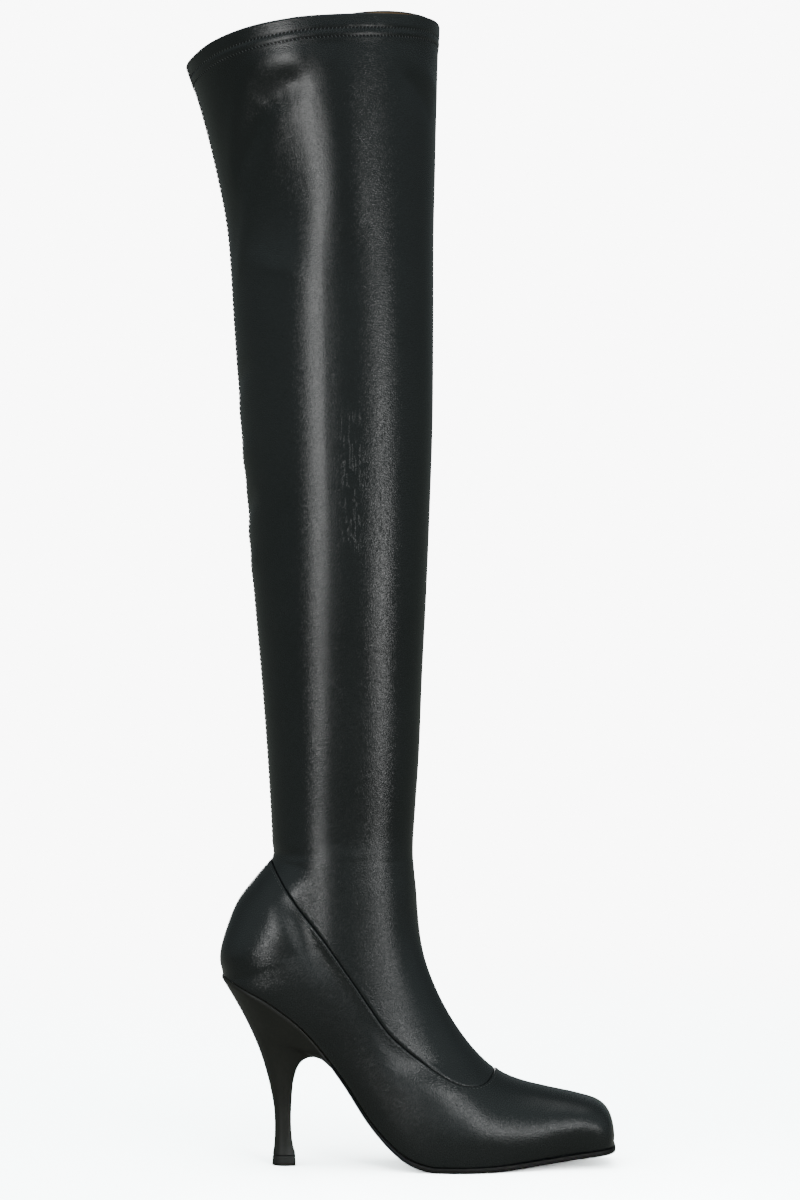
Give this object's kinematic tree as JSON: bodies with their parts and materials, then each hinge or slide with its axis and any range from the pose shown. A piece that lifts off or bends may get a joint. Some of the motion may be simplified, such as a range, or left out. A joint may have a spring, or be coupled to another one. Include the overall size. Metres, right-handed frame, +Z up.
{
  "type": "thigh high boot",
  "caption": "Thigh high stiletto boot for the right foot, with a square toe, a curved covered heel and a stretch leg with a stitched hem.",
  "frame": {"origin": "centre of the boot's bounding box at the floor", "axes": "+Z up the leg, +X towards the toe, -Y towards the outer side of the foot"},
  "size_m": [0.2448, 0.125, 0.6613],
  "materials": {
    "upper_leather": "satin, fine pebble grain",
    "stretch_leather": "satin, fine grain, stretch backed",
    "sole": "satin black edge",
    "heel_cover": "smooth matt cover",
    "heel_tip": "matt",
    "insole_board": "matt tan"
  },
  "bodies": {
    "root": {"upper": "upper_leather", "shaft": "stretch_leather", "outsole": "sole", "insole": "insole_board", "heel": "heel_cover", "heel_tip": "heel_tip"}
  },
  "joints": []
}
